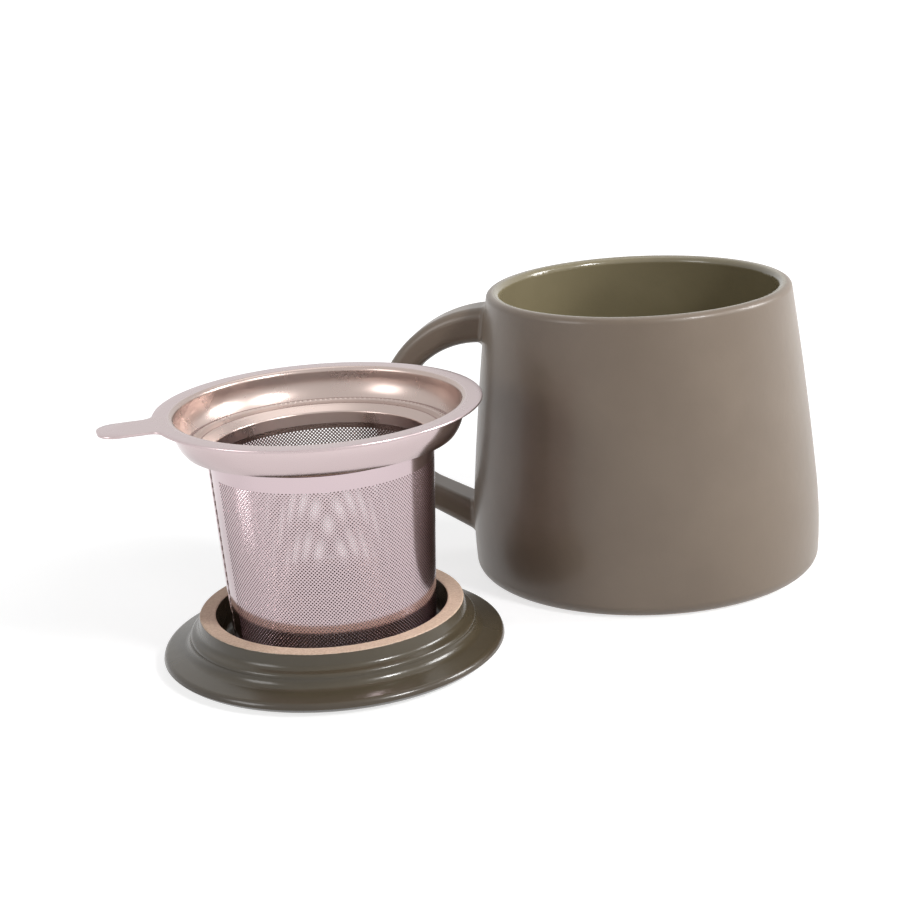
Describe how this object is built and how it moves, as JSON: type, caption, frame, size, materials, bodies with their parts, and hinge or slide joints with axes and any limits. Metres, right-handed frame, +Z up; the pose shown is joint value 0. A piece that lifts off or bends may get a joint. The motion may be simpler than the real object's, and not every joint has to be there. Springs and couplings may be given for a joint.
{
  "type": "lidded tea mug with infuser",
  "caption": "Glazed tea mug with a side handle, a loose lid that lies upturned beside it as a coaster, and a perforated steel infuser with a finger tab standing in the lid.",
  "frame": {"origin": "centre of the mug's foot ring, on the surface that it stands on", "axes": "+Z up along the mug's own axis, -X towards the handle, +Y to the mug's side away from the lid"},
  "size_m": [0.1683, 0.1669, 0.0798],
  "materials": {
    "mug_glaze": "satin taupe glaze, glossier and greener inside, bare clay on the foot ring",
    "lid_glaze": "glossy olive glaze with a bare clay ring",
    "polished_steel": "polished stainless steel",
    "perforated_steel": "stainless steel sheet with fine round holes"
  },
  "bodies": {
    "mug": {"mug_body": "mug_glaze", "mug_handle": "mug_glaze"},
    "lid": {"lid": "lid_glaze"},
    "infuser": {"infuser_rim": "polished_steel", "basket_wall": "perforated_steel", "basket_floor": "perforated_steel"}
  },
  "joints": [
    {"name": "lid_lift", "type": "slide", "parent": "mug", "child": "lid", "axis": [0, 0, 1], "range_m": [0, 0.12]},
    {"name": "infuser_lift", "type": "slide", "parent": "lid", "child": "infuser", "axis": [0, 0, 1], "range_m": [0, 0.08]}
  ]
}
